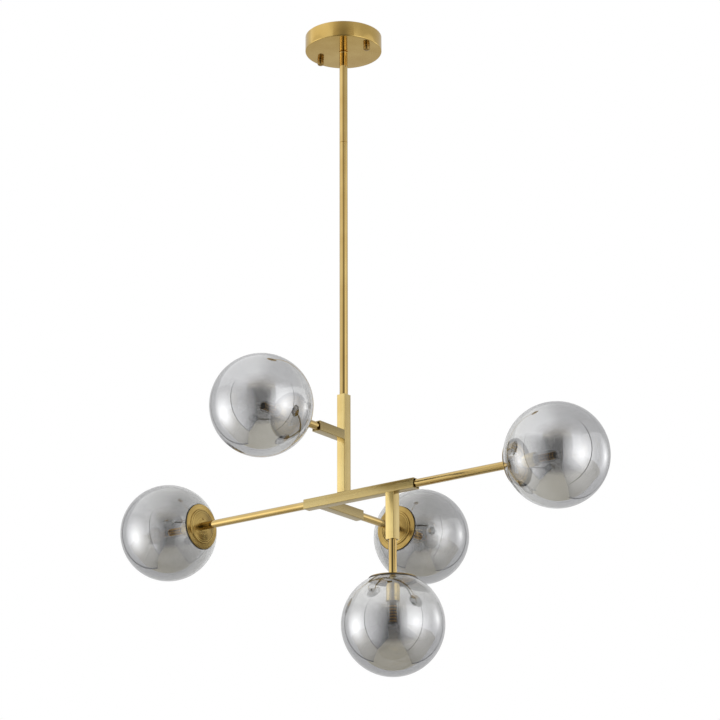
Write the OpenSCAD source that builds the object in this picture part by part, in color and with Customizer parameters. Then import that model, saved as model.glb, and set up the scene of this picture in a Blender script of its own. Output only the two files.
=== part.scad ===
// Branch chandelier: five glass globes on a square-tube branch, hung on a rod.
// Millimetres. Origin at the centre of the ceiling face, +Z up, so it hangs to -Z.
// +X runs along the main beam. Every lamp end is drawn in its own frame, with the
// globe's centre at the origin and +Z along the arm, from the globe to its plate.

/* [Ceiling plate] */
// Diameter of the round ceiling plate
canopy_d = 120; // [116:1:150]
// Depth of the ceiling plate
canopy_h = 25; // [24:0.5:40]
// Sheet thickness of the ceiling plate
canopy_wall = 1.2; // [0.8:0.1:2]
// Radius of the ceiling plate's lower edge
canopy_edge_r = 1.5; // [0.5:0.1:3]
// Length of the crossbar
bar_len = 104; // [102:1:108]
// Width of the crossbar
bar_w = 18; // [16:1:24]
// Thickness of the crossbar
bar_t = 2; // [1.5:0.1:3]
// Distance between the two ceiling screw slots, centre to centre
slot_spacing = 64; // [62:1:66]
// Length of a ceiling screw slot, end to end
slot_len = 12; // [10:0.5:13]
// Width of a ceiling screw slot
slot_w = 5; // [4:0.5:6]
// Hole for the supply cable in the middle of the crossbar, diameter
cable_hole_d = 9; // [6:0.5:10]
// Distance between the two studs that hold the ceiling plate
stud_spacing = 91; // [90:0.5:92]
// Diameter of a stud
stud_d = 4; // [3:0.5:5]
// Width across the flats of a stud's lock nut
lock_nut_af = 7; // [6.5:0.5:8]
// Thickness of a stud's lock nut
lock_nut_t = 3; // [2:0.5:4]
// Diameter of a cap nut under the ceiling plate
cap_nut_d = 10; // [8:0.5:12]
// Height of a cap nut
cap_nut_h = 10; // [9:0.5:14]
// Length of stud inside a cap nut
stud_in_cap = 6; // [4:0.5:7]
// Length of nipple above the ceiling plate's floor
nipple_in_canopy = 5.8; // [4:0.2:6]
// Width across the flats of the nipple's lock nut
nipple_nut_af = 14; // [13:0.5:16]
// Distance of the terminal block from the hanging rod's axis
block_gap = 6; // [5:0.5:8]
// Diameter of the terminal block's screw wells
well_d = 3; // [2:0.5:3.5]
// Depth of the terminal block's screw wells
well_depth = 4; // [2:0.5:5]
// Length of the terminal block
block_len = 16; // [10:1:18]
// Width of the terminal block
block_w = 14; // [8:1:16]
// Height of the terminal block
block_h = 11; // [9.5:0.5:12]

/* [Hanging rod] */
// Diameter of the hanging rod
downrod_d = 12.7; // [12:0.1:14]
// Length of the upper piece of the hanging rod
downrod_upper_len = 155; // [60:5:300]
// Length of the lower piece of the hanging rod
downrod_lower_len = 412; // [100:1:600]
// Chamfer at the ends of the rods
rod_chamfer = 0.4; // [0.2:0.1:0.8]

/* [Square tubes] */
// Side of the square tube
tube_w = 15; // [15:0.5:20]
// Wall of the square tube
tube_wall = 1.2; // [0.8:0.1:1.2]
// Radius of the square tube's outer corners
tube_corner_r = 0.6; // [0.3:0.1:1]
// Height of the post
post_len = 152; // [110:1:200]
// Drop from the post's top to the middle of the upper branch
upper_branch_drop = 64.5; // [30:0.5:80]
// Length of the upper branch
upper_branch_len = 59.5; // [30:0.5:120]
// Length of the main beam in front of the post's axis
beam_front = 131.5; // [110:0.5:200]
// Length of the main beam behind the post's axis
beam_back = 70.5; // [60:0.5:150]
// Distance of the lower branch behind the post's axis
lower_branch_x = 43.5; // [25:0.5:50]
// Length of the lower branch
lower_branch_len = 89.5; // [30:0.5:150]
// Distance of the drop branch in front of the post's axis
drop_branch_x = 88.5; // [60:0.5:98]
// Length of the drop branch
drop_branch_len = 70; // [30:1:150]
// Length of the plug inside each tube end
plug_len = 10; // [6:1:12]
// Depth of each plug below the tube's end
plug_recess = 3; // [1:0.5:5]

/* [Arm rods] */
// Diameter of the arm rods
arm_rod_d = 12; // [11.5:0.1:12.4]
// Length of the right rod that shows
rod_right_len = 171; // [60:0.5:300]
// Length of the left rod that shows
rod_left_len = 202.5; // [60:0.5:300]
// Length of the upper rod that shows
rod_upper_len = 58; // [40:0.5:200]
// Length of the lower rod that shows
rod_lower_len = 91.5; // [40:0.5:200]
// Length of the drop rod that shows
rod_drop_len = 55; // [40:0.5:200]
// Outer diameter of the hollow threaded nipples
nipple_d = 9.9; // [9:0.1:9.9]
// Bore of the hollow threaded nipples
nipple_bore_d = 7.2; // [6:0.1:7.4]
// Length of a nipple inside a rod
nipple_in_rod = 12; // [8:1:15]
// Length of a nipple past its last nut
nipple_past_nut = 1.2; // [0.6:0.2:2]
// Diameter of the ring nuts on the nipples
ring_nut_d = 13; // [12:0.5:15]
// Thickness of the ring nuts
ring_nut_t = 2.2; // [1.5:0.1:2.4]

/* [Globe plates] */
// Diameter of a globe plate
plate_d = 70; // [66:0.5:72]
// Thickness of a globe plate
plate_t = 1.5; // [1:0.1:2]
// Diameter of the raised middle of a globe plate
plate_raised_d = 53; // [44:0.5:56]
// Height of the raised middle above the rim
plate_raise = 2; // [1.8:0.1:4]
// Thickness of the seal ring between plate and glass
seal_t = 1.5; // [1:0.1:2]
// Outer diameter of the seal ring
seal_d = 71.6; // [70:0.1:72.5]
// Inner diameter of the seal ring
seal_inner_d = 62; // [60:0.5:64]
// Distance of each plate screw from the arm's axis
screw_offset = 12; // [10:0.5:14]
// Diameter of a plate screw's thread
screw_d = 2.9; // [2:0.1:3]
// Diameter of a plate screw's head
screw_head_d = 4; // [3.5:0.1:5]
// Height of a plate screw's head
screw_head_h = 0.8; // [0.5:0.1:1.5]

/* [Glass globes] */
// Diameter of a glass globe
globe_d = 150; // [146:1:156]
// Wall of a glass globe
globe_wall = 2; // [1.5:0.1:2.2]
// Outer diameter of the globe's ground mouth
mouth_d = 73.07; // [72:0.01:76]

/* [Lampholders and bulbs] */
// Diameter of the sleeve round the lampholder
sleeve_d = 20; // [19.5:0.5:22]
// Wall of the sleeve
sleeve_wall = 0.8; // [0.5:0.1:0.9]
// Thickness of the sleeve's closed end
sleeve_top_t = 1; // [0.8:0.1:1.2]
// Length of the sleeve
sleeve_len = 30.4; // [28:0.2:34]
// Gap between the sleeve's closed end and the mouth of the glass
sleeve_gap = 1.1; // [0.8:0.1:2]
// Gap between the nipple's end and the lampholder
socket_gap = 0.5; // [0.3:0.1:0.8]
// Depth of the lampholder's face inside the sleeve
socket_depth = 7; // [4:0.5:9]
// Distance between a bulb's two pins
pin_spacing = 9; // [8:0.5:10]
// Diameter of a bulb's pin
pin_d = 1.3; // [1:0.1:1.5]
// Length of a bulb's pin
pin_len = 7.5; // [5:0.5:8]
// Diameter of the bulb
bulb_d = 16.5; // [15:0.5:17]
// Length of the bulb's clear cap
bulb_cap_len = 35; // [28:1:38]
// Depth of the clear cap's open end inside the sleeve
bulb_neck_in = 1; // [0.5:0.5:3]
// Diameter of the bulb's base
bulb_base_d = 16; // [14:0.5:16]
// Wall of the bulb's clear cap
bulb_wall = 0.9; // [0.6:0.1:1.2]
// Width across the corners of the bulb's lamp column
bulb_core_d = 10; // [8:0.5:11]
// Gap between the lamp column and the end of the cap
bulb_core_gap = 6; // [4:0.5:10]

/* [Spring clips] */
// Thickness of the strap under each plate
strap_t = 1; // [0.8:0.1:1.2]
// Wall of the lugs round a clip's pin
lug_wall = 1.1; // [0.9:0.1:1.2]
// Length of a clip's pin past each lug
pin_past_lug = 0.5; // [0.3:0.1:1]
// Diameter of the clip wire
wire_d = 1.8; // [1.4:0.1:2]
// Distance of the clip's pivot from the arm's axis
pivot_r = 13; // [12.5:0.1:13.5]
// Gap between a clip's soft tip and the glass
tip_gap = 0.6; // [0.4:0.1:1.5]
// Angle of the clip arm's arch
arch_angle = 54; // [52:0.5:56]
// Straight start of the clip arm
arch_start = 2; // [1.5:0.1:2.5]
// Width across the two lugs that carry a clip arm's pin
lug_w = 7; // [6:0.5:8]
// Gap between the two lugs, for the arm
lug_gap = 2.8; // [2.4:0.1:3]
// Length of the soft tip
tip_len = 16; // [15:0.5:17]
// Largest diameter of the soft tip
tip_d = 11.2; // [10:0.1:11.4]

/* [Wiring] */
// Diameter of the supply lead in the hanging rod
supply_lead_d = 5; // [3:0.5:5.5]
// Radius of the supply lead's bend under the crossbar
lead_bend_r = 4; // [3:0.5:5]
// Diameter of the lead to each lamp
lamp_lead_d = 3; // [2:0.5:4]

/* [Fits] */
// Radial clearance of threads and pins in their holes
fit = 0.05; // [0.03:0.01:0.08]
// Radial clearance of loose holes
loose = 0.1; // [0.05:0.01:0.2]
// Radial clearance of the holes that the leads pass through
lead_room = 1.5; // [0.5:0.1:2]

/* [Hidden] */
$fn = 96;
// A cut passes this far through what it cuts
through = 1;
brass = "#c9a24e";
dark_brass = "#9a7a3a";
steel = "#b9bcc0";

// Heights down the hanging rod and the post
canopy_floor_z = -canopy_h + canopy_wall;
coupler_z = -canopy_h - downrod_upper_len;
post_top_z = coupler_z - downrod_lower_len;
upper_branch_z = post_top_z - upper_branch_drop;
beam_top_z = post_top_z - post_len;
beam_z = beam_top_z - tube_w / 2;
drop_top_z = beam_z - tube_w / 2;
drop_end_z = drop_top_z - drop_branch_len;
nipple_top_z = canopy_floor_z + nipple_in_canopy;
tube_inner = tube_w - 2 * tube_wall;

// Heights along a lamp end, from the globe's centre
mouth_h = sqrt(globe_d * globe_d - mouth_d * mouth_d) / 2;
plate_in_h = mouth_h + seal_t;
plate_rim_h = plate_in_h + plate_t;
plate_out_h = plate_rim_h + plate_raise;
plate_roof_h = plate_out_h - plate_t;
strap_h = plate_roof_h - strap_t;
sleeve_top_h = mouth_h - sleeve_gap;
sleeve_end_h = sleeve_top_h - sleeve_len;
socket_face_h = sleeve_end_h + socket_depth;
nipple_end_h = sleeve_top_h - sleeve_top_t - ring_nut_t - nipple_past_nut;
socket_top_h = nipple_end_h - socket_gap;
bulb_neck_h = sleeve_end_h + bulb_neck_in;
bulb_tip_h = bulb_neck_h - bulb_cap_len;
lug_r = wire_d / 2 + lug_wall;
pivot_h = strap_h - lug_r;

// The arch's radius puts the soft tip's widest part a tip_gap from the glass
tip_widest = 0.53 * tip_len;
tip_x = pivot_r + arch_start + tip_widest * cos(arch_angle);
tip_h = pivot_h - tip_widest * sin(arch_angle);
tip_reach = globe_d / 2 - globe_wall - tip_gap - tip_d / 2;
arch_a = 2 - 2 * cos(arch_angle);
arch_b = tip_x * sin(arch_angle) - tip_h * (1 - cos(arch_angle));
arch_c = tip_x * tip_x + tip_h * tip_h - tip_reach * tip_reach;
arch_r = (sqrt(arch_b * arch_b - arch_a * arch_c) - arch_b) / arch_a;

// Lamp ends: globe centre, then the turn that brings +Z onto the arm
arm_end = plate_out_h;
RIGHT = [[beam_front + rod_right_len + arm_end, 0, beam_z], [0, -90, 0], 90];
LEFT = [[-beam_back - rod_left_len - arm_end, 0, beam_z], [0, 90, 0], 90];
UPPER = [
    [0, -tube_w / 2 - upper_branch_len - rod_upper_len - arm_end, upper_branch_z],
    [-90, 0, 0], 0
];
LOWER = [
    [-lower_branch_x, tube_w / 2 + lower_branch_len + rod_lower_len + arm_end, beam_z],
    [90, 0, 0], 0
];
DROP = [[drop_branch_x, 0, drop_end_z - rod_drop_len - arm_end], [0, 0, 0], 90];
LAMPS = [RIGHT, LEFT, UPPER, LOWER, DROP];
ROD_LENGTHS = [rod_right_len, rod_left_len, rod_upper_len, rod_lower_len, rod_drop_len];

// Puts a piece drawn in a lamp end's own frame in its place
module at_lamp(lamp) {
    translate(lamp[0])
        rotate(lamp[1])
            rotate([0, 0, lamp[2]])
                children();
}

// Repeats a piece at all five lamp ends
module at_every_lamp() {
    for (lamp = LAMPS)
        at_lamp(lamp)
            children();
}

// A round tube or washer along Z
module ring(outer_d, inner_d, low, high) {
    translate([0, 0, low])
        difference() {
            cylinder(d = outer_d, h = high - low);
            translate([0, 0, -through])
                cylinder(d = inner_d, h = high - low + 2 * through);
        }
}

// A rod tube along Z with chamfered ends
module rod_tube(outer_d, low, high) {
    r = outer_d / 2;
    bore_r = nipple_d / 2 + fit;
    rotate_extrude()
        polygon([
            [bore_r, low], [r - rod_chamfer, low], [r, low + rod_chamfer],
            [r, high - rod_chamfer], [r - rod_chamfer, high], [bore_r, high]
        ]);
}

// Square with rounded corners
module rounded_square(side, radius) {
    square([side, side - 2 * radius], center = true);
    square([side - 2 * radius, side], center = true);
    for (x = [-1, 1], y = [-1, 1])
        translate([x, y] * (side / 2 - radius))
            circle(r = radius, $fn = 24);
}

// Square tube along Z
module square_tube(low, high) {
    translate([0, 0, low])
        linear_extrude(high - low)
            difference() {
                rounded_square(tube_w, tube_corner_r);
                square(tube_inner, center = true);
            }
}

// A lead's hole through one wall of a square tube, along +Z from the tube's middle
module lead_hole(lead_d) {
    cylinder(d = lead_d + 2 * lead_room, h = tube_w / 2 + through, $fn = 48);
}

// Slot outline of the ceiling screws
module slot_cut() {
    half = (slot_len - slot_w) / 2;
    translate([0, 0, -bar_t - through])
        linear_extrude(bar_t + 2 * through) {
            square([2 * half, slot_w], center = true);
            for (x = [-half, half])
                translate([x, 0])
                    circle(d = slot_w, $fn = 48);
        }
}

module crossbar() {
    color(steel)
        difference() {
            translate([-bar_len / 2, -bar_w / 2, -bar_t])
                cube([bar_len, bar_w, bar_t]);
            for (x = [-1, 1]) {
                translate([x * slot_spacing / 2, 0, 0])
                    slot_cut();
                translate([x * stud_spacing / 2, 0, -bar_t - through])
                    cylinder(d = stud_d + 2 * fit, h = bar_t + 2 * through, $fn = 48);
            }
            translate([0, 0, -bar_t - through])
                cylinder(d = cable_hole_d, h = bar_t + 2 * through, $fn = 48);
        }
}

module crossbar_studs() {
    color(steel)
        for (x = [-1, 1])
            translate([x * stud_spacing / 2, 0, -canopy_h - stud_in_cap])
                cylinder(d = stud_d, h = canopy_h + stud_in_cap, $fn = 48);
}

module stud_lock_nuts() {
    color(steel)
        for (x = [-1, 1])
            translate([x * stud_spacing / 2, 0, -bar_t - lock_nut_t])
                difference() {
                    cylinder(d = lock_nut_af / cos(30), h = lock_nut_t, $fn = 6);
                    translate([0, 0, -through])
                        cylinder(d = stud_d + 2 * fit, h = lock_nut_t + 2 * through, $fn = 48);
                }
}

// Spun cup, open at the ceiling, with a rounded lower edge
module canopy() {
    r = canopy_d / 2;
    color(brass)
        difference() {
            rotate_extrude($fn = 180)
                difference() {
                    union() {
                        translate([0, -canopy_h])
                            square([r - canopy_edge_r, canopy_h]);
                        translate([0, -canopy_h + canopy_edge_r])
                            square([r, canopy_h - canopy_edge_r]);
                        translate([r - canopy_edge_r, -canopy_h + canopy_edge_r])
                            circle(r = canopy_edge_r, $fn = 32);
                    }
                    translate([-through, canopy_floor_z])
                        square([r - canopy_wall + through, canopy_h + through]);
                }
            translate([0, 0, -canopy_h - through])
                cylinder(d = nipple_d + 2 * loose, h = canopy_h);
            for (x = [-1, 1])
                translate([x * stud_spacing / 2, 0, -canopy_h - through])
                    cylinder(d = stud_d + 2 * loose, h = canopy_h, $fn = 48);
        }
}

// Thumb nut with a domed end and a blind thread
module cap_nut(side) {
    r = cap_nut_d / 2;
    bevel = r / 5;
    dome = r * 0.3;
    color(dark_brass)
        translate([side * stud_spacing / 2, 0, -canopy_h])
            difference() {
                rotate_extrude($fn = 64)
                    polygon([
                        [0, 0], [r - bevel, 0], [r, -bevel],
                        [r, -cap_nut_h + dome + bevel], [r - bevel, -cap_nut_h + dome],
                        [r * 0.55, -cap_nut_h + dome * 0.3], [0, -cap_nut_h]
                    ]);
                translate([0, 0, -stud_in_cap - 0.5])
                    cylinder(d = stud_d + 2 * fit, h = stud_in_cap + 0.5 + through, $fn = 48);
            }
}

module canopy_nipple() {
    color(dark_brass)
        ring(nipple_d, nipple_bore_d, -canopy_h - nipple_in_rod, nipple_top_z);
}

module canopy_lock_nut() {
    color(steel)
        translate([0, 0, canopy_floor_z])
            difference() {
                cylinder(d = nipple_nut_af / cos(30), h = lock_nut_t, $fn = 6);
                translate([0, 0, -through])
                    cylinder(d = nipple_d + 2 * fit, h = lock_nut_t + 2 * through);
            }
}

// Three-way block under the crossbar, with its screw wells
module terminal_block() {
    color("white")
        difference() {
            translate([-block_gap - block_len, -block_w / 2, -bar_t - block_h])
                cube([block_len, block_w, block_h]);
            for (row = [0, 1], way = [-1, 0, 1])
                translate([
                    -block_gap - block_len * (row ? 0.72 : 0.28), way * block_w / 3.4,
                    -bar_t - block_h - through
                ])
                    cylinder(d = well_d, h = well_depth + through, $fn = 32);
        }
}

module downrod_upper() {
    color(brass)
        rod_tube(downrod_d, coupler_z, -canopy_h);
}

module downrod_lower() {
    color(brass)
        rod_tube(downrod_d, post_top_z, coupler_z);
}

module downrod_coupler() {
    color(dark_brass)
        ring(nipple_d, nipple_bore_d, coupler_z - nipple_in_rod, coupler_z + nipple_in_rod);
}

module post() {
    color(brass)
        difference() {
            square_tube(beam_top_z, post_top_z);
            translate([0, 0, upper_branch_z])
                rotate([90, 0, 0])
                    lead_hole(lamp_lead_d);
        }
}

module main_beam() {
    color(brass)
        translate([0, 0, beam_z])
            difference() {
                rotate([0, 90, 0])
                    square_tube(-beam_back, beam_front);
                lead_hole(supply_lead_d);
                translate([-lower_branch_x, 0, 0])
                    rotate([-90, 0, 0])
                        lead_hole(lamp_lead_d);
                translate([drop_branch_x, 0, 0])
                    rotate([180, 0, 0])
                        lead_hole(lamp_lead_d);
            }
}

// A branch tube at a lamp end, which runs back from the arm rod
module branch(lamp, rod_len, length) {
    color(brass)
        at_lamp(lamp)
            square_tube(arm_end + rod_len, arm_end + rod_len + length);
}

// Square plug in a tube's end, bored for a nipple
module end_plug(low) {
    side = tube_inner - 2 * fit;
    color(dark_brass)
        difference() {
            translate([-side / 2, -side / 2, low])
                cube([side, side, plug_len]);
            translate([0, 0, low - through])
                cylinder(d = nipple_d + 2 * fit, h = plug_len + 2 * through);
        }
}

module tube_end_plugs() {
    for (i = [0:4])
        at_lamp(LAMPS[i])
            end_plug(arm_end + ROD_LENGTHS[i] + plug_recess);
    translate([0, 0, post_top_z - plug_len])
        end_plug(0);
}

module hollow_nipples() {
    color(dark_brass) {
        at_every_lamp()
            ring(nipple_d, nipple_bore_d, nipple_end_h, plate_out_h + nipple_in_rod);
        for (i = [0:4])
            at_lamp(LAMPS[i]) {
                face = arm_end + ROD_LENGTHS[i] + plug_recess;
                ring(nipple_d, nipple_bore_d, face - nipple_in_rod, face + plug_len);
            }
        ring(nipple_d, nipple_bore_d, post_top_z - plug_len, post_top_z + nipple_in_rod);
    }
}

// Rod from the plate to the plug inside the tube's end
module arm_rod(lamp, rod_len) {
    color(brass)
        at_lamp(lamp)
            rod_tube(arm_rod_d, arm_end, arm_end + rod_len + plug_recess);
}

// Pressed plate with a raised middle, a bore for the nipple and two screw holes
module globe_plate() {
    r = plate_d / 2;
    raised = plate_raised_d / 2;
    edge = 0.4;
    color(brass)
        difference() {
            rotate_extrude($fn = 128)
                polygon([
                    [0, plate_out_h], [raised - edge, plate_out_h],
                    [raised, plate_out_h - edge], [raised + edge, plate_rim_h],
                    [r - edge, plate_rim_h], [r, plate_rim_h - edge],
                    [r, plate_in_h], [raised - plate_t, plate_in_h],
                    [raised - plate_t, plate_roof_h], [0, plate_roof_h]
                ]);
            translate([0, 0, plate_in_h])
                cylinder(d = nipple_d + 2 * loose, h = plate_out_h);
            for (y = [-1, 1])
                translate([0, y * screw_offset, plate_in_h])
                    cylinder(d = screw_d + 2 * fit, h = plate_out_h, $fn = 32);
        }
}

module seal_rings() {
    color("#1c1c1c")
        at_every_lamp()
            ring(seal_d, seal_inner_d, mouth_h, plate_in_h);
}

// Two screws through each plate into its clip strap
module plate_screws() {
    color(dark_brass)
        at_every_lamp()
            for (y = [-1, 1])
                translate([0, y * screw_offset, 0]) {
                    translate([0, 0, strap_h])
                        cylinder(d = screw_d, h = plate_out_h - strap_h, $fn = 32);
                    translate([0, 0, plate_out_h])
                        cylinder(d1 = screw_head_d, d2 = screw_head_d - 1, h = screw_head_h, $fn = 32);
                }
}

// One nut under each plate and one inside each sleeve
module ring_nuts() {
    color(steel)
        at_every_lamp()
            for (top = [strap_h, sleeve_top_h - sleeve_top_t])
                ring(ring_nut_d, nipple_d + 2 * fit, top - ring_nut_t, top);
}

// Cross-shaped strap under each plate, with a pair of lugs at two of its ends
module clip_straps() {
    arm_w = 8;
    color(steel)
        at_every_lamp()
            difference() {
                union() {
                    translate([-pivot_r - lug_r, -lug_w / 2, strap_h])
                        cube([2 * (pivot_r + lug_r), lug_w, strap_t]);
                    translate([-arm_w / 2, -screw_offset - 3, strap_h])
                        cube([arm_w, 2 * screw_offset + 6, strap_t]);
                    translate([0, 0, strap_h])
                        cylinder(d = ring_nut_d, h = strap_t);
                    for (x = [-1, 1])
                        translate([x * pivot_r, 0, pivot_h]) {
                            translate([-lug_r, -lug_w / 2, 0])
                                cube([2 * lug_r, lug_w, lug_r]);
                            rotate([90, 0, 0])
                                cylinder(r = lug_r, h = lug_w, center = true, $fn = 48);
                        }
                }
                translate([0, 0, strap_h - through])
                    cylinder(d = nipple_d + 2 * loose, h = strap_t + 2 * through);
                for (y = [-1, 1])
                    translate([0, y * screw_offset, strap_h - through])
                        cylinder(d = screw_d + 2 * fit, h = strap_t + 2 * through, $fn = 32);
                for (x = [-1, 1])
                    translate([x * pivot_r, 0, pivot_h]) {
                        translate([-lug_r - through, -lug_gap / 2, -lug_r - through])
                            cube([
                                2 * (lug_r + through), lug_gap,
                                2 * lug_r + through
                            ]);
                        rotate([90, 0, 0])
                            cylinder(d = wire_d + 2 * fit, h = lug_w + 2, center = true, $fn = 48);
                    }
            }
}

// Turned sleeve, closed at its top but for the nipple
module lamp_sleeve() {
    color(brass)
        difference() {
            translate([0, 0, sleeve_end_h])
                cylinder(d = sleeve_d, h = sleeve_len);
            translate([0, 0, sleeve_end_h - through])
                cylinder(
                    d = sleeve_d - 2 * sleeve_wall,
                    h = sleeve_len - sleeve_top_t + through
                );
            translate([0, 0, sleeve_end_h])
                cylinder(d = nipple_d + 2 * fit, h = sleeve_len + through);
        }
}

// Ceramic two-pin lampholder inside each sleeve
module lamp_sockets() {
    color("white")
        at_every_lamp()
            difference() {
                translate([0, 0, socket_face_h])
                    cylinder(
                        d = sleeve_d - 2 * sleeve_wall - 2 * fit,
                        h = socket_top_h - socket_face_h
                    );
                for (x = [-1, 1])
                    translate([x * pin_spacing / 2, 0, socket_face_h - through])
                        cylinder(d = pin_d + 2 * loose, h = pin_len + 0.5 + through, $fn = 32);
            }
}

// Two-pin bulb: the clear cap, and the base with its pins and lamp column
module bulb() {
    r = bulb_d / 2;
    color([0.9, 0.9, 0.9, 0.5])
        rotate_extrude($fn = 64)
            difference() {
                intersection() {
                    union() {
                        translate([0, bulb_tip_h + r])
                            circle(r = r);
                        translate([0, bulb_tip_h + r])
                            square([r, bulb_neck_h - bulb_tip_h - r]);
                    }
                    translate([0, bulb_tip_h])
                        square([r, bulb_neck_h - bulb_tip_h]);
                }
                union() {
                    translate([0, bulb_tip_h + r])
                        circle(r = r - bulb_wall);
                    translate([-1, bulb_tip_h + r])
                        square([r - bulb_wall + 1, bulb_cap_len + through]);
                }
            }
    color("#d8d8d4") {
        translate([0, 0, bulb_neck_h])
            cylinder(d = bulb_base_d, h = socket_face_h - bulb_neck_h, $fn = 64);
        translate([0, 0, bulb_tip_h + bulb_core_gap])
            cylinder(
                d = bulb_core_d, h = bulb_neck_h - bulb_tip_h - bulb_core_gap, $fn = 8
            );
        for (x = [-1, 1])
            translate([x * pin_spacing / 2, 0, socket_face_h])
                cylinder(d = pin_d, h = pin_len, $fn = 32);
    }
}

// Blown globe with a flat ground mouth
module glass_globe() {
    color([0.62, 0.63, 0.65, 0.4])
        difference() {
            sphere(d = globe_d, $fn = 128);
            sphere(d = globe_d - 2 * globe_wall, $fn = 128);
            translate([0, 0, mouth_h])
                cylinder(d = globe_d, h = globe_d);
        }
}

// Spring arm: a cross pin in the two lugs, an arch between them, and a soft tip
module clip_arm(lamp, side) {
    centre_x = pivot_r + arch_start;
    at_lamp(lamp)
        rotate([0, 0, side > 0 ? 0 : 180]) {
            color("#4a4436") {
                translate([pivot_r, 0, pivot_h])
                    rotate([90, 0, 0])
                        cylinder(
                            d = wire_d, h = lug_w + 2 * pin_past_lug, center = true,
                            $fn = 32
                        );
                translate([pivot_r, 0, pivot_h])
                    rotate([0, 90, 0])
                        cylinder(d = wire_d, h = arch_start, $fn = 32);
                translate([centre_x, 0, pivot_h - arch_r])
                    rotate([90, 0, 0])
                        rotate([0, 0, 90 - arch_angle])
                            rotate_extrude(angle = arch_angle, $fn = 96)
                                translate([arch_r, 0])
                                    circle(d = wire_d, $fn = 32);
            }
            color([0.85, 0.86, 0.86, 0.6])
                translate([
                    centre_x + arch_r * sin(arch_angle), 0,
                    pivot_h - arch_r * (1 - cos(arch_angle))
                ])
                    rotate([0, 90 + arch_angle, 0])
                        clip_tip();
        }
}

// Soft bud on the end of a clip arm, which starts at the wire's end
module clip_tip() {
    r = tip_d / 2;
    rotate_extrude($fn = 48)
        polygon([
            [0, 0], [r * 0.26, 0], [r * 0.62, tip_len * 0.18],
            [r * 0.93, tip_len * 0.36], [r, tip_len * 0.53], [r * 0.93, tip_len * 0.69],
            [r * 0.58, tip_len * 0.87], [r * 0.2, tip_len], [0, tip_len]
        ]);
}

// One lead down the hanging rod, branching to every lampholder
module wiring() {
    lead_z = -bar_t - block_h / 2;
    color("white") {
        translate([0, 0, beam_z])
            cylinder(d = supply_lead_d, h = lead_z - lead_bend_r - beam_z, $fn = 32);
        translate([-lead_bend_r, 0, lead_z - lead_bend_r])
            rotate([90, 0, 0])
                rotate_extrude(angle = 90, $fn = 64)
                    translate([lead_bend_r, 0])
                        circle(d = supply_lead_d, $fn = 32);
        translate([-block_gap, 0, lead_z])
            rotate([0, 90, 0])
                cylinder(d = supply_lead_d, h = block_gap - lead_bend_r, $fn = 32);
        for (i = [0:4])
            at_lamp(LAMPS[i])
                translate([0, 0, socket_top_h])
                    cylinder(d = lamp_lead_d, h = LEAD_ENDS[i] - socket_top_h, $fn = 32);
    }
}

// How far each lamp's lead runs: to the post's axis, or to the beam's middle
LEAD_ENDS = [
    RIGHT[0][0], -LEFT[0][0], -UPPER[0][1], LOWER[0][1], beam_z - DROP[0][2]
];

crossbar();
crossbar_studs();
stud_lock_nuts();
canopy();
cap_nut(-1);  // cap_nut_left
cap_nut(1);  // cap_nut_right
canopy_nipple();
canopy_lock_nut();
terminal_block();
wiring();
downrod_upper();
downrod_lower();
downrod_coupler();
post();
main_beam();
branch(UPPER, rod_upper_len, upper_branch_len);  // upper_branch
branch(LOWER, rod_lower_len, lower_branch_len);  // lower_branch
branch(DROP, rod_drop_len, drop_branch_len);  // drop_branch
tube_end_plugs();
hollow_nipples();
arm_rod(RIGHT, rod_right_len);  // rod_right
arm_rod(LEFT, rod_left_len);  // rod_left
arm_rod(UPPER, rod_upper_len);  // rod_upper
arm_rod(LOWER, rod_lower_len);  // rod_lower
arm_rod(DROP, rod_drop_len);  // rod_drop
at_lamp(RIGHT) globe_plate();  // plate_right
at_lamp(LEFT) globe_plate();  // plate_left
at_lamp(UPPER) globe_plate();  // plate_upper
at_lamp(LOWER) globe_plate();  // plate_lower
at_lamp(DROP) globe_plate();  // plate_drop
seal_rings();
plate_screws();
ring_nuts();
clip_straps();
lamp_sockets();
at_lamp(RIGHT) lamp_sleeve();  // sleeve_right
at_lamp(LEFT) lamp_sleeve();  // sleeve_left
at_lamp(UPPER) lamp_sleeve();  // sleeve_upper
at_lamp(LOWER) lamp_sleeve();  // sleeve_lower
at_lamp(DROP) lamp_sleeve();  // sleeve_drop
at_lamp(RIGHT) bulb();  // bulb_right
at_lamp(LEFT) bulb();  // bulb_left
at_lamp(UPPER) bulb();  // bulb_upper
at_lamp(LOWER) bulb();  // bulb_lower
at_lamp(DROP) bulb();  // bulb_drop
at_lamp(RIGHT) glass_globe();  // globe_right
at_lamp(LEFT) glass_globe();  // globe_left
at_lamp(UPPER) glass_globe();  // globe_upper
at_lamp(LOWER) glass_globe();  // globe_lower
at_lamp(DROP) glass_globe();  // globe_drop
clip_arm(RIGHT, 1);  // clip_right_a
clip_arm(RIGHT, -1);  // clip_right_b
clip_arm(LEFT, 1);  // clip_left_a
clip_arm(LEFT, -1);  // clip_left_b
clip_arm(UPPER, 1);  // clip_upper_a
clip_arm(UPPER, -1);  // clip_upper_b
clip_arm(LOWER, 1);  // clip_lower_a
clip_arm(LOWER, -1);  // clip_lower_b
clip_arm(DROP, 1);  // clip_drop_a
clip_arm(DROP, -1);  // clip_drop_b
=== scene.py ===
# %% [markdown]
# # A branch chandelier, dressed for its picture
#
# The CAD model already gives every part its size and place. This lesson loads it, sets a
# camera and a studio round it, and gives each part the finish of the real one: brushed
# brass tubes, polished rods, turned plates, silvered glass globes and two-pin bulbs.
#
# Lengths in the code are in millimetres, as on a drawing, and become metres on the way in.

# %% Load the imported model
import math

import bmesh
import bpy
from mathutils import Matrix, Vector


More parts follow.
